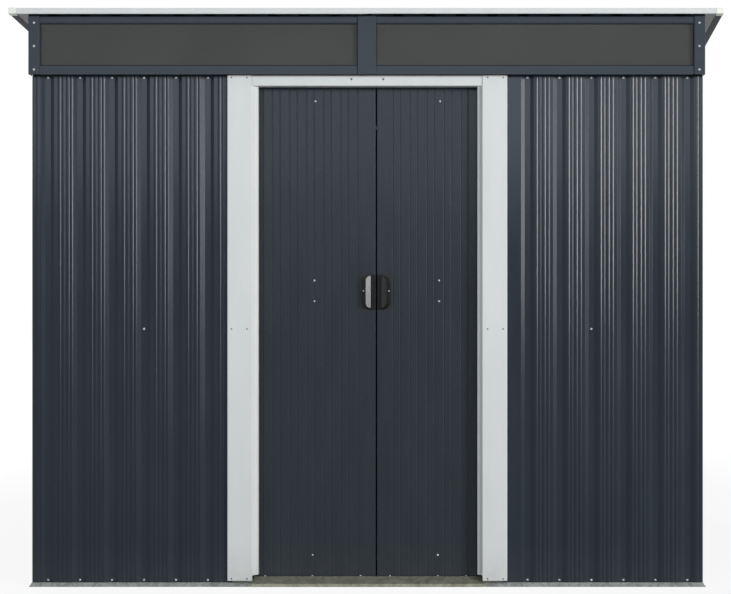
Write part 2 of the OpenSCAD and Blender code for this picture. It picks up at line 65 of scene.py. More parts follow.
def add_node(tree, kind, inputs=(), **settings):
    """Adds a node to a material or group. An input takes a plain value or the output of another node."""
    made = tree.nodes.new(kind)
    for name, value in settings.items():
        setattr(made, name, value)
    for socket, value in dict(inputs).items():
        if isinstance(value, bpy.types.NodeSocket):
            tree.links.new(value, made.inputs[socket])
        else:
            made.inputs[socket].default_value = value
    return made


def mix_colours(tree, factor, first, second):
    """The output of a node that mixes two colours."""
    return add_node(tree, "ShaderNodeMix", {0: factor, 6: first, 7: second}, data_type="RGBA").outputs[2]


def spread(tree, value, low, high):
    """The output of a node that stretches a value from 0..1 to low..high."""
    return add_node(tree, "ShaderNodeMapRange", {"Value": value, "To Min": low, "To Max": high}).outputs[0]


def noise(tree, spot, scale, detail):
    """The output of a soft noise with so many waves to the metre."""
    values = {"Vector": spot, "Scale": scale, "Detail": detail}
    return add_node(tree, "ShaderNodeTexNoise", values).outputs[0]


def calculate(tree, operation, *values):
    """The output of a node that works out one number from others."""
    return add_node(tree, "ShaderNodeMath", dict(enumerate(values)), operation=operation).outputs[0]


def bumped(tree, height, strength, depth):
    """The normal of a surface that rises and falls by a depth."""
    values = {"Height": height, "Strength": strength, "Distance": depth}
    return add_node(tree, "ShaderNodeBump", values).outputs[0]


def new_finish(name, **plain):
    """A material around one Principled shader, whose plain sockets are set here."""
    material = bpy.data.materials.new(name)
    material.use_nodes = True
    shader = material.node_tree.nodes["Principled BSDF"]
    for socket, value in plain.items():
        shader.inputs[socket.replace("_", " ")].default_value = value
    return material, material.node_tree, shader


def feed(tree, shader, colour, roughness, normal=None):
    """Links a material's changing colour, roughness and normal to its shader."""
    tree.links.new(colour, shader.inputs["Base Color"])
    tree.links.new(roughness, shader.inputs["Roughness"])
    if normal:
        tree.links.new(normal, shader.inputs["Normal"])


def new_group(name, inputs, outputs):
    """A shader node group with named inputs (label, default) and outputs (label, kind)."""
    group = bpy.data.node_groups.new(name, "ShaderNodeTree")
    for label, value in inputs:
        kind = "NodeSocketColor" if isinstance(value, tuple) else "NodeSocketFloat"
        group.interface.new_socket(label, in_out="INPUT", socket_type=kind).default_value = value
    for label, kind in outputs:
        group.interface.new_socket(label, in_out="OUTPUT", socket_type=kind)
    return group, group.nodes.new("NodeGroupInput").outputs, group.nodes.new("NodeGroupOutput").inputs


def use_group(tree, group, **values):
    """Places a group in a material with its own values."""
    placed = add_node(tree, "ShaderNodeGroup", node_tree=group)
    for label, value in values.items():
        placed.inputs[label.replace("_", " ")].default_value = value
    return placed.outputs


# Zinc spangle: crystals some millimetres wide, each with its own shade, under a faint grey bloom
spangle, given, made = new_group(
    "zinc_spangle",
    [("Light", (0.4, 0.4, 0.4, 1.0)), ("Dark", (0.2, 0.2, 0.2, 1.0)), ("Crystals", 90.0)],
    [("Color", "NodeSocketColor"), ("Roughness", "NodeSocketFloat"), ("Height", "NodeSocketFloat")],
)
spot = add_node(spangle, "ShaderNodeTexCoord").outputs["Object"]
crystal = add_node(spangle, "ShaderNodeTexVoronoi", {"Vector": spot, "Scale": given["Crystals"]})
shade = add_node(spangle, "ShaderNodeSeparateColor", {"Color": crystal.outputs["Color"]}).outputs[0]
bloom = noise(spangle, spot, 14.0, 5.0)
both = calculate(spangle, "MULTIPLY_ADD", shade, 0.45, bloom)
limits = {"From Min": 0.3, "From Max": 1.15}
level = add_node(spangle, "ShaderNodeMapRange", {"Value": both, **limits}).outputs[0]
spangle.links.new(mix_colours(spangle, level, given["Dark"], given["Light"]), made["Color"])
spangle.links.new(spread(spangle, shade, 0.32, 0.52), made["Roughness"])
spangle.links.new(bloom, made["Height"])


def zinc_finish(name, light, dark, metallic):
    """Galvanised steel in a given pair of shades."""
    material, tree, shader = new_finish(name, Metallic=metallic)
    out = use_group(tree, spangle, Light=linear(*light), Dark=linear(*dark))
    feed(tree, shader, out["Color"], out["Roughness"], bumped(tree, out["Height"], 0.25, 0.4 * MM))
    return material


zinc = zinc_finish("galvanised_steel", (140, 143, 138), (102, 105, 101), 0.75)
worn_zinc = zinc_finish("worn_galvanised_steel", (152, 151, 133), (116, 115, 100), 0.35)


def keep_cad(node, material, radius=0.4 * MM):
    """Keeps a CAD node as it is, with its edges eased and its own finish."""
    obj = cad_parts[node]
    obj.data.materials.clear()
    obj.data.materials.append(material)
    obj.modifiers.new("joined", "WELD").merge_threshold = 0.01 * MM
    eased = obj.modifiers.new("eased_edges", "BEVEL")
    eased.width = radius
    eased.segments = 2
    eased.limit_method = "ANGLE"
    eased.harden_normals = True


for side in ("front", "rear", "left", "right"):
    keep_cad(f"base_{side}_rail", zinc)
keep_cad("door_threshold", worn_zinc)

# ---------------------------------------------------------------------------------------------------------
# Wall sheets and corner trims
# Coated steel sheets with deep grooves every 112 mm and four low beads pressed into each flat between them.
# They are screwed to the base rails and top rails, and angle trims with a round bend close the corners.

GROOVE_PITCH = 112 * MM
GROOVE_DEPTH = 7 * MM
GROOVE_FLOOR = 19 * MM
GROOVE_SIDE = 13 * MM
# Each bead's distance from the middle of the groove before it, its height and the width of its steeper side
BEADS = ((41.6 * MM, 1.7 * MM, 2.4 * MM), (55.6 * MM, 1.8 * MM, 1.4 * MM),
         (71.4 * MM, 1.6 * MM, 2.4 * MM), (83.4 * MM, 1.8 * MM, 2.4 * MM))
BEAD_HALF = 5.9 * MM
BEAD_GENTLE = 4.4 * MM
BEAD_MIRROR = 2.3 * MM
SHEET = 1 * MM
SHEET_BEND = 2.4 * MM
CORNER_BEND = 4 * MM
FIRST_GROOVE = 53 * MM
MID_RAIL_Z = 901 * MM
MID_SCREW_EVERY = 7
FOOT_SCREW_RISE = 7 * MM
FRONT_SCREW_DROP = 10.5 * MM
SIDE_SCREW_DROP = 14 * MM


def bend(points, radius, steps=4):
    """Rounds the corners of a path of (u, v) points. No bend takes up half of the side next to it."""
    path = [Vector(points[0])]
    for before, corner, after in zip(points, points[1:], points[2:]):
        corner = Vector(corner)
        back, on = Vector(before) - corner, Vector(after) - corner
        turn = math.pi - back.angle(on)
        reach = min(radius * math.tan(turn / 2), 0.48 * back.length, 0.48 * on.length)
        start, stop = corner + reach * back.normalized(), corner + reach * on.normalized()
        for step in range(steps + 1):
            t = step / steps
            path.append(start.lerp(corner, t).lerp(corner.lerp(stop, t), t))
    path.append(Vector(points[-1]))
    return path


def offsets(path):
    """For each point of a path, the way to its left that keeps a sheet's thickness even."""
    ways = [(b - a).normalized() for a, b in zip(path, path[1:])]
    left = [Vector((-way.y, way.x)) for way in ways]
    left = [left[0]] + left + [left[-1]]
    return [(a + b) / (1 + a.dot(b)) for a, b in zip(left, left[1:])]


def add_strip(mesh, path, thick, ends, place):
    """Adds a bent sheet: path is its outer face, and its thickness lies to the left, or right if negative.

    The sheet runs between two ends, each a number or a function of (u, v), and place turns (u, v, w) into a
    point of the shed. Faces on the inner side take the piece's second material."""
    inner = [p + thick * way for p, way in zip(path, offsets(path))]
    lines = []
    for which in (0, 1):
        line = []
        for u, v in list(path) + inner:
            low, high = (end(u, v) if callable(end) else end for end in ends)
            line.append(mesh.verts.new(place(u, v, low + (high - low) * which)))
        lines.append((line[: len(path)], line[len(path):]))
    (out_a, in_a), (out_b, in_b) = lines
    for i in range(len(path) - 1):
        mesh.faces.new((out_a[i], out_a[i + 1], out_b[i + 1], out_b[i]))
        mesh.faces.new((in_b[i], in_b[i + 1], in_a[i + 1], in_a[i])).material_index = 1
    for i in (0, -1):
        mesh.faces.new((out_a[i], out_b[i], in_b[i], in_a[i]))
    for outer_line, inner_line in lines:
        for i in range(len(path) - 1):
            mesh.faces.new((outer_line[i], outer_line[i + 1], inner_line[i + 1], inner_line[i]))


def finish_piece(name, mesh, body, materials, nodes=(), sharp=32):
    """Turns a mesh into a piece of the shed: smooth bends, flat flats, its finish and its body."""
    bmesh.ops.recalc_face_normals(mesh, faces=mesh.faces)
    data = bpy.data.meshes.new(name)
    mesh.to_mesh(data)
    mesh.free()
    data.shade_smooth()
    data.set_sharp_from_angle(angle=math.radians(sharp))
    for material in materials:
        data.materials.append(material)
    obj = bpy.data.objects.new(name, data)
    bpy.context.scene.collection.objects.link(obj)
    flat = obj.modifiers.new("flat_flats", "WEIGHTED_NORMAL")
    flat.keep_sharp = True
    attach(obj, body)
    if nodes:
        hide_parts(*nodes)
    return obj


# Coil paint: a fine orange peel, a slow swell of the thin sheet, and soft marks that run along its length
coil_paint, given, made = new_group(
    "coil_paint",
    [("Peel", 1.0), ("Swell", 1.0), ("Along X", 3.0), ("Along Y", 3.0), ("Along Z", 0.6)],
    [("Mottle", "NodeSocketFloat"), ("Height", "NodeSocketFloat")],
)
spot = add_node(coil_paint, "ShaderNodeTexCoord").outputs["Object"]
runs = add_node(coil_paint, "ShaderNodeCombineXYZ", {i: given[i + 2] for i in range(3)}).outputs[0]
drawn = add_node(coil_paint, "ShaderNodeVectorMath", {0: spot, 1: runs}, operation="MULTIPLY").outputs[0]
mottle = noise(coil_paint, drawn, 6.0, 4.0)
swell = noise(coil_paint, drawn, 1.3, 1.0)
peel = noise(coil_paint, spot, 900.0, 1.0)
swell = calculate(coil_paint, "MULTIPLY", swell, given["Swell"])
peel = calculate(coil_paint, "MULTIPLY", peel, given["Peel"])
coil_paint.links.new(mottle, made["Mottle"])
coil_paint.links.new(calculate(coil_paint, "MULTIPLY_ADD", peel, 0.012, swell), made["Height"])

# Ground dust: a pale film that thins out over the lowest hand's breadth
dust, given, made = new_group(
    "ground_dust", [("Amount", 0.3), ("Reach", 0.15)], [("Mask", "NodeSocketFloat")]
)
spot = add_node(dust, "ShaderNodeTexCoord").outputs["Object"]
height = add_node(dust, "ShaderNodeSeparateXYZ", {"Vector": spot}).outputs["Z"]
limits = {"From Max": given["Reach"], "To Min": given["Amount"], "To Max": 0.0}
fall = add_node(dust, "ShaderNodeMapRange", {"Value": height, **limits}).outputs[0]
specks = noise(dust, spot, 35.0, 6.0)
dust.links.new(calculate(dust, "MULTIPLY", fall, specks), made["Mask"])
DUST_COLOUR = linear(118, 114, 102)


def paint_finish(name, light, dark, rough, specular=0.5, swell=1.0, along=(3.0, 3.0, 0.6), dusty=0.25):
    """Factory paint on steel sheet, in two close shades that run softly into each other."""
    material, tree, shader = new_finish(name, Specular_IOR_Level=specular)
    values = {"Along X": along[0], "Along Y": along[1], "Along Z": along[2], "Swell": swell}
    film = use_group(tree, coil_paint, **values)
    tint = mix_colours(tree, spread(tree, film["Mottle"], -0.4, 1.4), linear(*dark), linear(*light))
    grime = use_group(tree, dust, Amount=dusty)["Mask"]
    tint = mix_colours(tree, grime, tint, DUST_COLOUR)
    roughness = spread(tree, film["Mottle"], rough - 0.06, rough + 0.06)
    feed(tree, shader, tint, roughness, bumped(tree, film["Height"], 1.0, 1.0 * MM))
    return material


anthracite = paint_finish("anthracite_paint", (34, 42, 50), (29, 37, 45), 0.21, specular=0.17, dusty=0.1)
back_coat = paint_finish("grey_back_coat", (150, 154, 156), (138, 142, 144), 0.55, dusty=0.1)


def wall_path(start, end, grooves, flipped=False):
    """The outer face of a wall sheet, from left to right as seen from outside; v points inwards.

    Right-hand sheets are rolled the other way round, so their beads are flipped."""
    points = [(start, 0)]
    for centre in grooves:
        half = GROOVE_FLOOR / 2
        points += [(centre - half - GROOVE_SIDE, 0), (centre - half, GROOVE_DEPTH)]
        points += [(centre + half, GROOVE_DEPTH), (centre + half + GROOVE_SIDE, 0)]
        for bead, height, steep in reversed(BEADS) if flipped else BEADS:
            middle = centre + (GROOVE_PITCH + BEAD_MIRROR - bead if flipped else bead)
            near, away = (steep, BEAD_GENTLE) if flipped else (BEAD_GENTLE, steep)
            if middle + 2 * BEAD_HALF < end:
                points += [(middle - BEAD_HALF, 0), (middle - BEAD_HALF + near, -height)]
                points += [(middle + BEAD_HALF - away, -height), (middle + BEAD_HALF, 0)]
    return bend(points + [(end, 0)], SHEET_BEND)


def face_front(u, v, w):
    """A point of the front wall: across as seen from outside, into the shed, and up."""
    return Vector((u, front_y + v, w))


def face_rear(u, v, w):
    """A point of the rear wall: across as seen from outside, into the shed, and up."""
    return Vector((-u, -front_y - v, w))


def face_right(u, v, w):
    """A point of the right wall: across as seen from outside, into the shed, and up."""
    return Vector((side_x - v, u, w))


def face_left(u, v, w):
    """A point of the left wall: across as seen from outside, into the shed, and up."""
    return Vector((v - side_x, -u, w))


front_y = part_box("front_left_wall")[0].y
side_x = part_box("right_wall")[1].x
first_groove = FIRST_GROOVE - side_x
front_grooves = [first_groove + i * GROOVE_PITCH for i in range(6)]
side_grooves = [(i - 7) * GROOVE_PITCH for i in range(15)]
rear_grooves = [i * GROOVE_PITCH for i in range(-10, 11) if i]

screw_zinc = zinc_finish("bright_zinc_screws", (196, 198, 196), (150, 152, 150), 0.6)
SCREW_SEGMENTS = 16
# A screw from its washer to the bottom of its recess: distance from its axis and height, in radii
SCREW_PROFILE = ((1.3, -0.05), (1.3, 0.16), (1.22, 0.2), (1.0, 0.2), (1.0, 0.34), (0.9, 0.48), (0.68, 0.58),
                 (0.6, 0.6), (0.5, 0.62), (0.24, 0.63))


def add_screw(mesh, spot, outward, radius=2.9 * MM):
    """Adds a pan-head screw on its washer, with a cross recess; spot is on the surface that it holds."""
    across = outward.orthogonal().normalized()
    along = outward.cross(across)
    twist = random.random() * math.pi
    rings = []
    for reach, height in SCREW_PROFILE:
        ring = []
        for step in range(SCREW_SEGMENTS):
            angle = twist + math.tau * step / SCREW_SEGMENTS
            recess = 0.25 if reach < 0.55 and step % 4 == 0 else 0.0
            way = across * math.cos(angle) + along * math.sin(angle)
            ring.append(mesh.verts.new(spot + radius * (reach * way + (height - recess) * outward)))
        rings.append(ring)
    centre = mesh.verts.new(spot + radius * 0.36 * outward)
    for i in range(SCREW_SEGMENTS):
        for low_ring, high_ring in zip(rings, rings[1:]):
            mesh.faces.new((low_ring[i - 1], low_ring[i], high_ring[i], high_ring[i - 1]))
        mesh.faces.new((rings[-1][i - 1], rings[-1][i], centre))
    mesh.faces.new(rings[0])


# Each sheet with the wall that it stands in, its grooves, and the axis that it runs along
walls = (
    ("front_left_wall", face_front, front_grooves, 0),
    ("front_right_wall", face_front, [-u for u in reversed(front_grooves)], 0),
    ("right_wall", face_right, side_grooves, 1),
    ("left_wall", face_left, side_grooves, 1),
    ("rear_right_wall", face_rear, rear_grooves[:10], 0),
    ("rear_left_wall", face_rear, rear_grooves[10:], 0),
)
random.seed(11)
screws = bmesh.new()
for node, face, grooves, axis in walls:
    low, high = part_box(node)
    reach = sorted((face(0, 0, 0) - face(1, 0, 0))[axis] * -edge[axis] for edge in (low, high))
    mesh = bmesh.new()
    add_strip(mesh, wall_path(*reach, grooves, "right" in node), SHEET, (low.z, high.z), face)
    finish_piece(node + "_sheet", mesh, "shed", [anthracite, back_coat], [node])
    outward = face(0, -1, 0) - face(0, 0, 0)
    for groove in grooves:
        drop = FRONT_SCREW_DROP if "front" in node else SIDE_SCREW_DROP
        heights = [low.z + FOOT_SCREW_RISE, high.z - drop]
        if round(abs(groove) / GROOVE_PITCH) % MID_SCREW_EVERY == 0:
            heights.append(MID_RAIL_Z)
        for z in heights:
            add_screw(screws, face(groove, GROOVE_DEPTH, z), outward)
finish_piece("wall_screws", screws, "shed", [screw_zinc])

# A low bead stiffens the trims' front and rear legs: distance from the corner and height
CORNER_BEAD = ((25 * MM, 0), (21 * MM, 1.3 * MM), (19 * MM, 1.3 * MM), (15 * MM, 0))
for node in ("front_left_corner", "front_right_corner", "rear_left_corner", "rear_right_corner"):
    low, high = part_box(node)
    corner = Vector((low.x if "left" in node else high.x, low.y if "front" in node else high.y))
    inward = Vector((high.x - low.x if "left" in node else low.x - high.x,
                     high.y - low.y if "front" in node else low.y - high.y))
    mesh = bmesh.new()
    points = [(inward.x, 0)]
    for reach, height in CORNER_BEAD:
        points.append((math.copysign(reach, inward.x), -math.copysign(height, inward.y)))
    leg_path = bend(points + [(0, 0), (0, inward.y)], CORNER_BEND, 6)
    add_strip(mesh, leg_path, SHEET * math.copysign(1, -inward.x * inward.y), (low.z, high.z),
              lambda u, v, w: Vector((corner.x + u, corner.y + v, w)))
    finish_piece(node + "_trim", mesh, "shed", [anthracite, back_coat], [node])

# ---------------------------------------------------------------------------------------------------------
# Gables, rails and roof beam
# Flat sheets close the wedge between the side walls and the roof. Inside, C-shaped rails of galvanised
# steel stiffen the walls at half height and at the top, and a hat-shaped beam carries the roof's middle.

for node in ("left_gable", "right_gable"):
    keep_cad(node, anthracite, 0.3 * MM)
for node in ("mid_rails", "top_rails", "roof_beam"):
    keep_cad(node, zinc)

# ---------------------------------------------------------------------------------------------------------
# Door jambs, header and track
# White powder-coated steel. Each jamb is one folded strip: a face proud of the wall, a sloping return, a
# lip beside the opening and a leg behind the wall. The header is an open channel with the zinc track on it.

white_paint = paint_finish("white_powder_coat", (210, 210, 207), (203, 204, 201), 0.42, specular=0.3,
                           swell=0.6, dusty=0.35)
JAMB_RETURN_FOOT = 40 * MM
JAMB_LIP_BACK = 5 * MM
JAMB_LIP = 7 * MM
JAMB_RETURN = 10.5 * MM
JAMB_LEG = 67 * MM
FRAME_BEND = 2 * MM
HEADER_FRONT = 35 * MM
JAMB_SCREWS_X = (-474.3 * MM, -420.2 * MM, 420.2 * MM, 474.3 * MM)
JAMB_SCREWS_Z = (28.5 * MM, MID_RAIL_Z, 1779 * MM)
HEADER_SCREWS_X = (-55.5 * MM, 55.5 * MM)
HEADER_SCREWS_Z = 1774 * MM
FORWARD = Vector((0, -1, 0))
jamb_low, jamb_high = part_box("right_door_jamb")
header_low, header_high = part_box("door_header")
jamb_front = jamb_low.y - front_y
jamb_back = jamb_high.y - front_y
door_edge = jamb_low.x
lip_edge = door_edge + JAMB_LIP
face_edge = lip_edge + JAMB_RETURN


def full_height(u, v):
    """Whether a point of a jamb's outline is on its face or outer edge, which run past header and ramp."""
    return (u > face_edge - 0.1 * MM and v < 0.4 * jamb_front) or u > face_edge + 70 * MM


def crosswise(u, v, w):
    """A point of a piece that runs across the shed, from its depth, height and place along the piece."""
    return Vector((w, u, v))


def upright(u, v, w):
    """A point of a piece that stands upright, from its place across, its depth and its height."""
    return Vector((u, v, w))


for node, way in (("left_door_jamb", -1), ("right_door_jamb", 1)):
    mesh = bmesh.new()
    points = [(jamb_high.x, 0), (jamb_high.x, jamb_front), (face_edge, jamb_front),
              (lip_edge, JAMB_LIP_BACK), (door_edge, JAMB_LIP_BACK), (door_edge, jamb_back),
              (face_edge + JAMB_LEG, jamb_back)]
    ends = (lambda u, v: jamb_low.z if full_height(u, v) else JAMB_RETURN_FOOT,
            lambda u, v: jamb_high.z if full_height(u, v) else header_low.z)
    add_strip(mesh, bend(points, FRAME_BEND, 6), SHEET, ends,
              lambda u, v, w: Vector((way * u, front_y + v, w)))
    finish_piece(node + "_strip", mesh, "shed", [white_paint, white_paint], [node])

screws = bmesh.new()
for x in JAMB_SCREWS_X:
    for z in JAMB_SCREWS_Z:
        add_screw(screws, Vector((x, jamb_low.y, z)), FORWARD)
for x in HEADER_SCREWS_X:
    add_screw(screws, Vector((x, header_low.y, HEADER_SCREWS_Z)), FORWARD)
# A darker copy of the screw zinc: painted shade and a painted dark reflection on the heads that sit against
# the white jambs and header.
darkened_frame_screw_zinc = zinc_finish("frame_screws_painted_shade", (104, 104, 102), (72, 72, 70), 0.7)
finish_piece("door_frame_screws", screws, "shed", [darkened_frame_screw_zinc])

mesh = bmesh.new()
points = [(header_high.y, header_high.z), (header_high.y, header_low.z),
          (header_low.y, header_low.z), (header_low.y, header_low.z + HEADER_FRONT)]
add_strip(mesh, bend(points, FRAME_BEND, 6), -SHEET, (header_low.x, header_high.x), crosswise)
finish_piece("door_header_channel", mesh, "shed", [white_paint, white_paint],
             ["door_header"])
keep_cad("door_track", zinc)

# ---------------------------------------------------------------------------------------------------------
# Window band
# A dark steel frame proud of the front wall: a bottom rail whose lip hangs over the wall sheets, a top rail
# under the roof, and end and middle posts screwed over both. Two smoked acrylic panes sit behind it.

frame_paint = paint_finish("slate_frame_paint", (48, 55, 62), (43, 50, 57), 0.3, specular=0.13,
                           along=(0.8, 3.0, 3.0), dusty=0.0)
FRAME_SHEET = 1.5 * MM
POST_RISE = 4 * MM
POST_BEVEL = 3.2 * MM
POST_RETURN = 20 * MM
POST_SCREW = 3 * MM
POST_SCREW_INSET = 20 * MM
POST_SCREWS_Z = (1803.6 * MM, 1885 * MM, 1966 * MM)
RAIL_EASE = 3.5 * MM
BAND_BEND = 1.6 * MM
PANE_PLAY = 0.5 * MM
ROOF_SEAT = 1 * MM
ROOF_ANGLE = math.radians(6.2)
slope = math.tan(ROOF_ANGLE)
band_low, band_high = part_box("window_right_post")
pane_low, pane_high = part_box("right_window")
middle_low, middle_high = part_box("window_middle_post")
sill_z, head_z = pane_low.z, pane_high.z + PANE_PLAY
band_back = band_high.y
band_top = middle_high.z
rail_front = band_low.y + POST_RISE
post_edge = pane_high.x


def under_roof(y):
    """Height at a given depth of what the roof sheets lie on."""
    return band_top + ROOF_SEAT - slope * (y - band_low.y)


def on_return(u, v):
    """Whether a point of a post's outline is on a return, as these stand only between the rails."""
    return u < post_edge + 2 * MM and v > rail_front + 0.2 * MM


mesh = bmesh.new()
low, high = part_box("window_top_rail")
points = [(band_back, head_z), (rail_front + RAIL_EASE, head_z), (rail_front, head_z + RAIL_EASE),
          (rail_front, band_top - ROOF_SEAT), (band_back, under_roof(band_back))]
add_strip(mesh, bend(points, BAND_BEND), -FRAME_SHEET, (low.x, high.x), crosswise)
finish_piece("window_top_rail_fold", mesh, "shed", [frame_paint, frame_paint],
             ["window_top_rail"])

mesh = bmesh.new()
low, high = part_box("window_bottom_rail")
wall_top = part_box("front_left_wall")[1].z
points = [(band_back, sill_z), (rail_front + RAIL_EASE, sill_z), (rail_front, sill_z - RAIL_EASE),
          (rail_front, low.z)]
add_strip(mesh, bend(points, BAND_BEND), FRAME_SHEET, (low.x, high.x), crosswise)
points = [(band_back, wall_top), (rail_front + FRAME_SHEET, wall_top)]
add_strip(mesh, [Vector(p) for p in points], -FRAME_SHEET, (low.x, high.x), crosswise)
finish_piece("window_bottom_rail_fold", mesh, "shed", [frame_paint, frame_paint],
             ["window_bottom_rail"])

for node, way in (("window_left_post", -1), ("window_right_post", 1)):
    mesh = bmesh.new()
    points = [(post_edge, band_low.y + POST_RETURN), (post_edge, rail_front),
              (post_edge + POST_BEVEL, band_low.y), (band_high.x, band_low.y), (band_high.x, band_back)]
    ends = (lambda u, v: sill_z if on_return(u, v) else band_low.z,
            lambda u, v: head_z if on_return(u, v) else min(band_top, under_roof(v)))
    add_strip(mesh, bend(points, BAND_BEND, 5), FRAME_SHEET, ends, lambda u, v, w: upright(way * u, v, w))
    finish_piece(node + "_fold", mesh, "shed", [frame_paint, frame_paint], [node])

mesh = bmesh.new()
half = middle_high.x
points = [(-half, band_low.y + POST_RETURN), (-half, rail_front), (POST_BEVEL - half, band_low.y),
          (half - POST_BEVEL, band_low.y), (half, rail_front), (half, band_low.y + POST_RETURN)]
ends = (lambda u, v: sill_z if on_return(u, v) else middle_low.z,
        lambda u, v: head_z if on_return(u, v) else band_top)
add_strip(mesh, bend(points, BAND_BEND, 5), FRAME_SHEET, ends, upright)
finish_piece("window_middle_post_fold", mesh, "shed", [frame_paint, frame_paint],
             ["window_middle_post"])

screws = bmesh.new()
for x in (POST_SCREW_INSET - band_high.x, band_high.x - POST_SCREW_INSET):
    for z in POST_SCREWS_Z:
        add_screw(screws, Vector((x, band_low.y, z)), FORWARD, POST_SCREW)
finish_piece("window_post_screws", screws, "shed", [screw_zinc])

# Smoked acrylic: mostly opaque, with a faint sight of the roof's ribs behind it
smoked, tree, shader = new_finish("smoked_acrylic", Alpha=0.92, Specular_IOR_Level=0.08)
spot = add_node(tree, "ShaderNodeTexCoord").outputs["Object"]
haze = noise(tree, spot, 4.0, 3.0)
tint = mix_colours(tree, haze, linear(69, 68, 65), linear(59, 58, 56))
feed(tree, shader, tint, spread(tree, haze, 0.2, 0.3))

for node in ("left_window", "right_window"):
    low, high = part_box(node)
    mesh = bmesh.new()
    bmesh.ops.create_cube(mesh, size=1.0)
    for vert in mesh.verts:
        vert.co = Vector([(low[i] + high[i]) / 2 + vert.co[i] * (high[i] - low[i]) for i in range(3)])
    bmesh.ops.bevel(mesh, geom=mesh.edges[:], offset=0.5 * MM, segments=2, affect="EDGES", profile=0.5)
    finish_piece(node + "_pane", mesh, "shed", [smoked], [node], sharp=60)

# ---------------------------------------------------------------------------------------------------------
# Roof sheets
# Four steel sheets, painted on both sides, with raised ribs that run down the slope. They lie on the window
# band, the beam and the rear rail, and screws with rubber washers hold them through the ribs.

RIB_PITCH = 109 * MM
RIB_HEIGHT = 16.5 * MM
RIB_TOP = 25 * MM
RIB_SIDE = 6 * MM
RIB_BEND = 2.2 * MM
ROOF_PLAY = 0.1 * MM
SHEET_SHORT = 3 * MM
ROOF_SCREW = 4.6 * MM
FRONT_SCREW_ROW = 55 * MM
REAR_SCREW_ROW = 70 * MM
CAP_LOW = -2 * MM
CAP_HIGH = 19.7 * MM
caps_low, caps_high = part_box("roof_corner_caps")
cap_lean = (CAP_HIGH - CAP_LOW) * math.sin(ROOF_ANGLE)
roof_half = 0.5 * (caps_high.y - caps_low.y - cap_lean) / math.cos(ROOF_ANGLE)
roof_mid_y = -0.5 * (CAP_LOW + CAP_HIGH) * math.sin(ROOF_ANGLE)
roof_mid_z = under_roof(roof_mid_y) + ROOF_PLAY


def on_roof(across, up, down):
    """A point of the shed from its place on the roof: across, above the flats, and down the slope."""
    cos, sin = math.cos(ROOF_ANGLE), math.sin(ROOF_ANGLE)
    return Vector((across, roof_mid_y + down * cos + up * sin, roof_mid_z - down * sin + up * cos))


ribs = [i * RIB_PITCH for i in range(-10, 11)]
for node in ("roof_left_sheet", "roof_middle_left_sheet", "roof_middle_right_sheet", "roof_right_sheet"):
    low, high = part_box(node)
    points = [(low.x, 0)]
    for rib in ribs:
        if low.x < rib < high.x:
            half = RIB_TOP / 2
            points += [(rib - half - RIB_SIDE, 0), (rib - half, RIB_HEIGHT)]
            points += [(rib + half, RIB_HEIGHT), (rib + half + RIB_SIDE, 0)]
    outer = [p + Vector((0, SHEET)) for p in bend(points + [(high.x, 0)], RIB_BEND)]
    mesh = bmesh.new()
    add_strip(mesh, outer, -SHEET, (SHEET_SHORT - roof_half, roof_half - SHEET_SHORT), on_roof)
    finish_piece(node + "_ribbed", mesh, "shed", [anthracite, anthracite], [node])

off_roof = on_roof(0, 1, 0) - on_roof(0, 0, 0)
tilt = off_roof.to_track_quat("Z", "Y").to_matrix().to_4x4()
screws, washers = bmesh.new(), bmesh.new()
for rib in ribs:
    for down in (FRONT_SCREW_ROW - roof_half, 0, roof_half - REAR_SCREW_ROW):
        spot = on_roof(rib, RIB_HEIGHT + SHEET, down)
        add_screw(screws, spot + 2 * MM * off_roof, off_roof, ROOF_SCREW)
        seat = Matrix.Translation(spot + 1 * MM * off_roof) @ tilt
        bmesh.ops.create_cone(washers, cap_ends=True, segments=20, radius1=8 * MM, radius2=7 * MM,
                              depth=2.2 * MM, matrix=seat)
finish_piece("roof_screws", screws, "shed", [screw_zinc])

# ---------------------------------------------------------------------------------------------------------
# Fascias, side trims and corner caps
# Channels folded from thin steel grip the edges of the roof: white at the front and rear, and at the
# sides a dark slate that is painted shade. The front fascia is in two lengths with a short lap, and white
# plastic caps close the corners.

TRIM_FLANGE = 24 * MM
TRIM_LOW = -1.1 * MM
TRIM_HIGH = 18.6 * MM
FASCIA_LIP = 5 * MM
HEM = 4.5 * MM
HEM_LEAN = 1.6 * MM
FASCIA_BEND = 1.4 * MM
TRIM_BEND = 1.8 * MM
EDGE_INSET = 1 * MM
CAP_ARM = 26 * MM
roof_half_x = caps_high.x


def fascia_path(drop=0.0):
    """Outline of a fascia from its lower lip, over a hem that leans in, up its face to the upper flange."""
    low = TRIM_LOW - drop
    points = [(FASCIA_LIP, low), (HEM_LEAN, low), (0, low + HEM), (0, TRIM_HIGH), (TRIM_FLANGE, TRIM_HIGH)]
    return bend(points, FASCIA_BEND, 5)


def front_edge(u, v, w):
    """A point of the front fascia, from its distance behind the edge, its height and its place across."""
    return on_roof(w, v, u + EDGE_INSET - roof_half)


def rear_edge(u, v, w):
    """The same for the rear fascia."""
    return on_roof(w, v, roof_half - EDGE_INSET - u)


def left_edge(u, v, w):
    """A point of the left trim, from its distance inside the edge, its height and how far down it is."""
    return on_roof(u + EDGE_INSET - roof_half_x, v, w)


def right_edge(u, v, w):
    """The same for the right trim."""
    return on_roof(roof_half_x - EDGE_INSET - u, v, w)


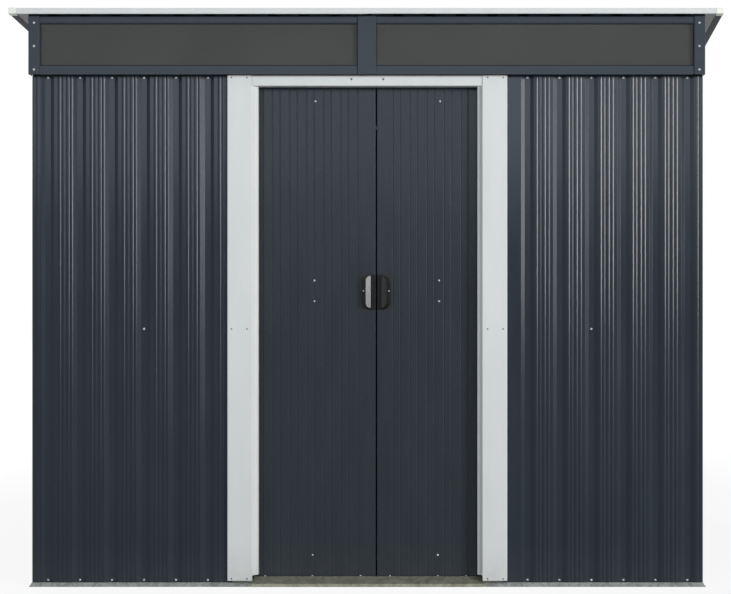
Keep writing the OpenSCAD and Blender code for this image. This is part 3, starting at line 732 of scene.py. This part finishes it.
# The left fascia hangs a little lower than the right one, and its tongue runs on behind the joint
JOINT_X = -12 * MM
JOINT_GAP = 1.2 * MM
LEFT_DROP = 0.8 * MM
TONGUE_BEHIND = 1.3 * MM
fascia_end = roof_half_x - CAP_ARM
mesh = bmesh.new()
add_strip(mesh, fascia_path(LEFT_DROP), -SHEET, (-fascia_end, JOINT_X - JOINT_GAP), front_edge)
low = TRIM_LOW - LEFT_DROP
tongue = [(FASCIA_LIP, low), (2.8 * MM, low), (TONGUE_BEHIND, low + HEM), (TONGUE_BEHIND, TRIM_HIGH - 2 * MM)]
add_strip(mesh, bend(tongue, 1 * MM), -0.8 * MM, (JOINT_X - 14 * MM, JOINT_X + 18 * MM), front_edge)
finish_piece("front_left_fascia_channel", mesh, "shed", [white_paint, white_paint],
             ["front_left_fascia"])
for node, edge, start in (("front_right_fascia", front_edge, JOINT_X),
                          ("rear_fascia", rear_edge, -fascia_end)):
    mesh = bmesh.new()
    add_strip(mesh, fascia_path(), -SHEET, (start, fascia_end), edge)
    finish_piece(node + "_channel", mesh, "shed", [white_paint, white_paint], [node])
trim_end = roof_half - CAP_ARM
# The side trims' dark slate is painted shade: it stands in for the shade on their undersides beneath the
# roof's edge.
side_trim_shade_paint = paint_finish("slate_side_trim_painted_shade", (42, 51, 62), (37, 46, 57), 0.4, specular=0.05, dusty=0.0)
for node, edge in (("left_roof_trim", left_edge), ("right_roof_trim", right_edge)):
    mesh = bmesh.new()
    points = [(TRIM_FLANGE, TRIM_LOW), (0, TRIM_LOW), (0, TRIM_HIGH), (TRIM_FLANGE, TRIM_HIGH)]
    add_strip(mesh, bend(points, TRIM_BEND, 5), -SHEET, (-trim_end, trim_end), edge)
    finish_piece(node + "_channel", mesh, "shed", [side_trim_shade_paint, side_trim_shade_paint], [node])

# Moulded plastic: a fine matt grain over an even colour
grain, given, made = new_group(
    "moulded_grain", [("Size", 700.0)], [("Mask", "NodeSocketFloat"), ("Height", "NodeSocketFloat")]
)
spot = add_node(grain, "ShaderNodeTexCoord").outputs["Object"]
soft = noise(grain, spot, 9.0, 3.0)
pits = noise(grain, spot, given["Size"], 2.0)
grain.links.new(soft, made["Mask"])
grain.links.new(pits, made["Height"])


def plastic_finish(name, light, dark, rough, specular=0.5):
    """Moulded plastic in two close shades."""
    material, tree, shader = new_finish(name, Specular_IOR_Level=specular)
    out = use_group(tree, grain)
    tint = mix_colours(tree, out["Mask"], linear(*dark), linear(*light))
    roughness = spread(tree, out["Mask"], rough - 0.05, rough + 0.05)
    feed(tree, shader, tint, roughness, bumped(tree, out["Height"], 0.3, 0.05 * MM))
    return material


white_plastic = plastic_finish("white_moulded_plastic", (232, 233, 222), (226, 227, 215), 0.45, specular=0.3)
keep_cad("roof_corner_caps", white_plastic, 1.2 * MM)
rubber = plastic_finish("black_rubber", (30, 30, 30), (22, 22, 22), 0.6, specular=0.3)
finish_piece("roof_washers", washers, "shed", [rubber])

# ---------------------------------------------------------------------------------------------------------
# Door leaves, braces and glides
# Each leaf is a coated sheet with fine flutes pressed in pairs and its edges folded back. Three flat bars
# stiffen it inside. It hangs from two glides in the top track, and two more straddle the fin at the bottom.

FLUTE_PITCH = 60.2 * MM
FLUTE_PAIR = 13 * MM
FLUTE_HALF = 3.2 * MM
FLUTE_DEPTH = 1.2 * MM
FLUTE_MARGIN = 40 * MM
LEAF_BEND = 2 * MM
LEAF_FOLD = 12 * MM
LEAF_SCREW = 2.5 * MM
FIRST_FLUTE = {"left": -25.3 * MM, "right": 98.8 * MM}
door_paint = paint_finish("anthracite_door_paint", (44, 49, 54), (39, 44, 49), 0.27, specular=0.12,
                          dusty=0.1)

# Screws in millimetres: into the braces, across and up, and across along the bottom edge
BRACE_SCREWS = {"left": ((-187.3, 1704), (-190.8, 1071), (-190.8, 998), (-197.3, 102)),
                "right": ((252.7, 1704), (249.2, 1071), (249.2, 998), (244.7, 102))}
EDGE_SCREWS = {"left": (-365.3, -198.3, -28.3), "right": (75.7, 244.7, 344.7)}
EDGE_SCREWS_Z = 27.7
for side, way in (("left", -1), ("right", 1)):
    node = f"{side}_door_leaf"
    low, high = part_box(node)
    pairs = [FIRST_FLUTE[side] + way * i * FLUTE_PITCH for i in range(7)]
    flutes = [pair + half for pair in pairs for half in (-FLUTE_PAIR, FLUTE_PAIR)]
    flutes = sorted(u for u in flutes if low.x + FLUTE_MARGIN < u < high.x - FLUTE_MARGIN)
    points = [(low.x, high.y), (low.x, low.y)]
    for flute in flutes:
        points += [(flute - FLUTE_HALF, low.y), (flute, low.y + FLUTE_DEPTH), (flute + FLUTE_HALF, low.y)]
    points += [(high.x, low.y), (high.x, high.y)]
    mesh = bmesh.new()
    add_strip(mesh, bend(points, LEAF_BEND), SHEET, (low.z, high.z), upright)
    for z, up in ((low.z, 1), (high.z, -1)):
        points = [(high.y, z), (low.y + SHEET, z), (low.y + SHEET, z + up * LEAF_FOLD)]
        add_strip(mesh, bend(points, 1.5 * MM), -up * SHEET, (low.x + SHEET, high.x - SHEET), crosswise)
    finish_piece(node + "_fluted", mesh, f"{side}_door", [door_paint, back_coat], [node])
    keep_cad(f"{side}_door_braces", zinc)
    screws = bmesh.new()
    for x, z in BRACE_SCREWS[side] + tuple((x, EDGE_SCREWS_Z) for x in EDGE_SCREWS[side]):
        add_screw(screws, Vector((x * MM, low.y, z * MM)), FORWARD, LEAF_SCREW)
    finish_piece(f"{side}_door_screws", screws, f"{side}_door", [screw_zinc])

# ---------------------------------------------------------------------------------------------------------
# Door handles
# Black moulded pulls, one at each meeting edge: a D-shaped plate screwed to the leaf, a raised grip with a
# face that slants to the seam, and a hollow for the fingers between them.

# Levels of a handle, each with its near and far edge from the meeting edge, half its height, the radius of
# its outer corners, how far it stands out, and how much of the face's slant it takes
HANDLE_LEVELS = (
    (0, 48, 63.5, 30, 0, 0), (0, 48, 63.5, 30, 2, 0), (0.9, 47.1, 62.6, 29.5, 3, 0),
    (16.5, 34, 58, 15, 3, 0), (16, 34.5, 58.5, 16, 4, 0), (16, 34.5, 58.5, 16, 8, 0.3),
    (13.4, 34.5, 58.5, 18.5, 11.5, 0.8), (12.6, 34.5, 58.5, 19.5, 14, 1), (12.6, 34.5, 58.5, 19.5, 16.6, 1),
    (13.4, 33.7, 57.7, 18.6, 17.6, 1), (14.6, 32.5, 56.5, 16.3, 18, 1), (15.6, 31.5, 55.5, 14.3, 17.7, 1),
)
FACE_SLANT = 0.52
FACE_MIDDLE = 23 * MM
HANDLE_EASE = 1.5 * MM
HANDLE_SCREW = 2.2 * MM
HANDLE_SCREW_AWAY = 41 * MM
arc_turns = [math.radians(9 * i) for i in range(11)]
black_plastic = plastic_finish("black_moulded_plastic", (14, 14, 15), (11, 11, 12), 0.26, specular=0.16)
# The grip's slanted face takes a lighter, glossier copy of the black plastic: a painted highlight where the
# key light catches it.
highlighted_grip_face = plastic_finish("black_grip_painted_highlight", (32, 32, 31), (26, 26, 25), 0.26, specular=0.32)
for side, way in (("left", -1), ("right", 1)):
    node = f"{side}_door_handle"
    low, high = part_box(node)
    seam_x = high.x if side == "left" else low.x
    centre_z = (low.z + high.z) / 2
    mesh = bmesh.new()
    rings = []
    for near, far, half, corner, out, slant in HANDLE_LEVELS:
        near, far, half, corner, out = (value * MM for value in (near, far, half, corner, out))
        outline = [Vector((near, 0)), Vector((near, half - HANDLE_EASE)), Vector((near + HANDLE_EASE, half))]
        for t in arc_turns:
            outline.append(Vector((far - corner * (1 - math.sin(t)), half - corner * (1 - math.cos(t)))))
        outline += [Vector((u, -v)) for u, v in reversed(outline[1:])]
        ring = []
        for u, v in outline:
            rise = out + slant * FACE_SLANT * (u - FACE_MIDDLE)
            ring.append(mesh.verts.new((seam_x + way * u, high.y - rise, centre_z + v)))
        rings.append(ring)
    for first, second in zip(rings, rings[1:]):
        for i in range(len(first)):
            mesh.faces.new((first[i - 1], first[i], second[i], second[i - 1]))
    mesh.faces.new(rings[0])
    mesh.faces.new(rings[-1]).material_index = 1
    finish_piece(node + "_pull", mesh, f"{side}_door", [black_plastic, highlighted_grip_face], [node],
                 sharp=50)
    screws = bmesh.new()
    spot = Vector((seam_x + way * HANDLE_SCREW_AWAY, high.y - 3 * MM, centre_z + 3 * MM))
    add_screw(screws, spot, FORWARD, HANDLE_SCREW)
    finish_piece(node + "_screw", screws, f"{side}_door", [screw_zinc])
    keep_cad(f"{side}_door_glides", black_plastic)

# ---------------------------------------------------------------------------------------------------------
# Floor, light and camera
# A pale floor and an even white background. A soft key light stands far to the right, with low fill lights
# in front, on the left, above and behind, and a faint sky, so that each finish shows about as it is written.

FLOOR_REACH = 30
floor_mesh = bpy.data.meshes.new("floor")
corners = [(x, y, 0) for reach_x, reach_y in ((FLOOR_REACH, FLOOR_REACH), (side_x, -front_y))
           for x, y in ((-reach_x, -reach_y), (reach_x, -reach_y), (reach_x, reach_y), (-reach_x, reach_y))]
quads = [(i, (i + 1) % 4, (i + 1) % 4 + 4, i + 4) for i in range(4)] + [(4, 5, 6, 7)]
floor_mesh.from_pydata(corners, [], quads)
floor_mesh.polygons[4].material_index = 1
floor = bpy.data.objects.new("floor", floor_mesh)
bpy.context.scene.collection.objects.link(floor)


def seen_directly(tree):
    """1 for rays from the camera, or that a gloss or a pane sends on, and 0 for the light itself."""
    path = add_node(tree, "ShaderNodeLightPath").outputs
    seen = path["Is Camera Ray"]
    for ray in ("Is Glossy Ray", "Is Transmission Ray"):
        seen = calculate(tree, "MAXIMUM", seen, path[ray])
    return seen


def floor_finish(name, lit):
    """Matt pale floor. Outside the shed it also shows as the white background, fully so further away."""
    material = bpy.data.materials.new(name)
    material.use_nodes = True
    tree = material.node_tree
    tree.nodes.clear()
    surface = add_node(tree, "ShaderNodeBsdfDiffuse", {"Color": linear(225, 225, 224)}).outputs[0]
    if lit:
        spot = add_node(tree, "ShaderNodeNewGeometry").outputs["Position"]
        away = add_node(tree, "ShaderNodeVectorMath", {0: spot}, operation="LENGTH").outputs["Value"]
        limits = {"From Min": 2.2, "From Max": 5.0, "To Min": 0.84, "To Max": 1.0}
        share = add_node(tree, "ShaderNodeMapRange", {"Value": away, **limits}).outputs[0]
        share = calculate(tree, "MULTIPLY", share, seen_directly(tree))
        glow = add_node(tree, "ShaderNodeEmission", {"Color": (1, 1, 1, 1), "Strength": 1.05}).outputs[0]
        surface = add_node(tree, "ShaderNodeMixShader", {0: share, 1: surface, 2: glow}).outputs[0]
    add_node(tree, "ShaderNodeOutputMaterial", {"Surface": surface})
    floor_mesh.materials.append(material)


floor_finish("pale_floor", True)
floor_finish("floor_in_the_shed", False)

world = bpy.data.worlds.new("studio")
world.use_nodes = True
tree = world.node_tree
tree.nodes.clear()
sky = add_node(tree, "ShaderNodeBackground", {"Color": (0.96, 0.98, 1.0, 1.0), "Strength": 0.16}).outputs[0]
white = add_node(tree, "ShaderNodeBackground", {"Color": (1, 1, 1, 1), "Strength": 1.0}).outputs[0]
both = add_node(tree, "ShaderNodeMixShader", {0: seen_directly(tree), 1: sky, 2: white}).outputs[0]
add_node(tree, "ShaderNodeOutputWorld", {"Surface": both})
bpy.context.scene.world = world


def add_light(name, place, aim, size, power, colour=(1, 1, 1)):
    """Adds a soft rectangular light that shows in no view."""
    data = bpy.data.lights.new(name, "AREA")
    data.color = colour
    data.shape = "RECTANGLE"
    data.size, data.size_y = size
    data.energy = power
    light = bpy.data.objects.new(name, data)
    light.location = place
    light.rotation_euler = (Vector(aim) - Vector(place)).to_track_quat("-Z", "Y").to_euler()
    light.visible_camera = False
    bpy.context.scene.collection.objects.link(light)


COOL = (0.8, 0.9, 1.0)
add_light("key_light", (11.5, -9.8, 3.3), (0, -0.8, 1.0), (3.2, 4.6), 1500)
add_light("front_light", (-0.4, -7.2, 2.75), (-0.4, -0.8, 2.2), (6.4, 1.5), 150, COOL)
add_light("left_light", (-4.8, -6.2, 2.7), (0.8, -0.8, 1.4), (1.8, 1.8), 22, COOL)
add_light("top_light", (0, -1.0, 6.0), (0, 0, 0), (5.0, 5.0), 40)
add_light("rear_light", (-5.5, 7.5, 3.6), (-0.4, 0.4, 1.0), (5.0, 3.0), 420)

# The camera looks straight at the front from 4.8 m, a little to the right of the middle
CAMERA_DISTANCE = 4.8
CAMERA_X = 0.3954
EYE_HEIGHT = 1.0005
camera_data = bpy.data.cameras.new("camera")
camera = bpy.data.objects.new("camera", camera_data)
camera.location = (CAMERA_X, front_y - CAMERA_DISTANCE, EYE_HEIGHT)
camera.rotation_euler = (math.radians(90), 0, 0)
camera_data.sensor_width = 36.0
camera_data.lens = 67.54
camera_data.shift_x = -0.1573
camera_data.shift_y = 0.0048
bpy.context.scene.collection.objects.link(camera)
bpy.context.scene.camera = camera
bpy.context.scene.view_settings.view_transform = "Standard"
